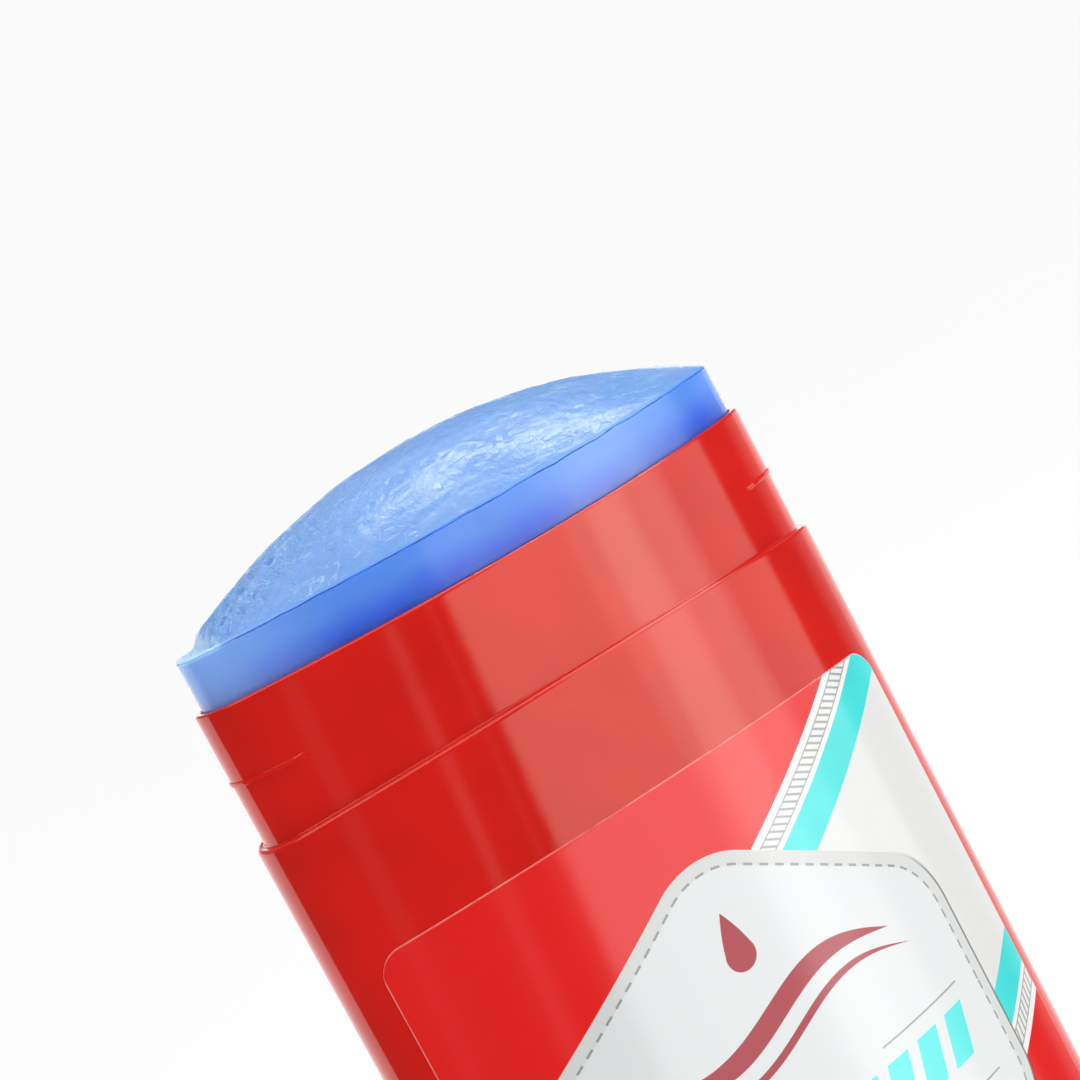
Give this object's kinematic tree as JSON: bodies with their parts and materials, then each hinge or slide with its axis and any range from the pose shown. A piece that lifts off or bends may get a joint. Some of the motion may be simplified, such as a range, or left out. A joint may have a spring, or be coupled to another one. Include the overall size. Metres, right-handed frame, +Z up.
{
  "type": "deodorant stick",
  "caption": "Twist-up gel deodorant stick in an oval case, with a thumb dial in its base and a domed cap standing beside it.",
  "frame": {"origin": "middle of the underside of the base, on the axis of the dial and the screw spindle", "axes": "+Z up along the spindle towards the gel, +X along the broad faces, the front label facing -Y, the cap standing at -X"},
  "size_m": [0.1008, 0.0649, 0.1227],
  "materials": {
    "case_red": "polished polypropylene",
    "dial_red": "moulded, satin ribs",
    "cap_red": "polished, slightly translucent",
    "inner_white": "as moulded",
    "gel_blue": "wet translucent gel",
    "label_film": "printed film, satin"
  },
  "bodies": {
    "root": {"case": "case_red", "base": "case_red", "cap": "cap_red", "front_label": "label_film", "back_label": "label_film"},
    "dial": {"dial": "dial_red", "screw_spindle": "inner_white"},
    "elevator": {"elevator": "inner_white", "gel_stick": "gel_blue"}
  },
  "joints": [
    {"name": "dial_turn", "type": "hinge", "parent": "root", "child": "dial", "pos_m": [0, 0, 0], "axis": [0, 0, 1], "range_deg": [-540, 5040]},
    {"name": "gel_lift", "type": "slide", "parent": "root", "child": "elevator", "axis": [0, 0, 1], "range_m": [-0.006, 0.056]}
  ],
  "couplings": [
    {"joint": "dial_turn", "follows": "gel_lift", "rad_per_m": 1570.8}
  ]
}
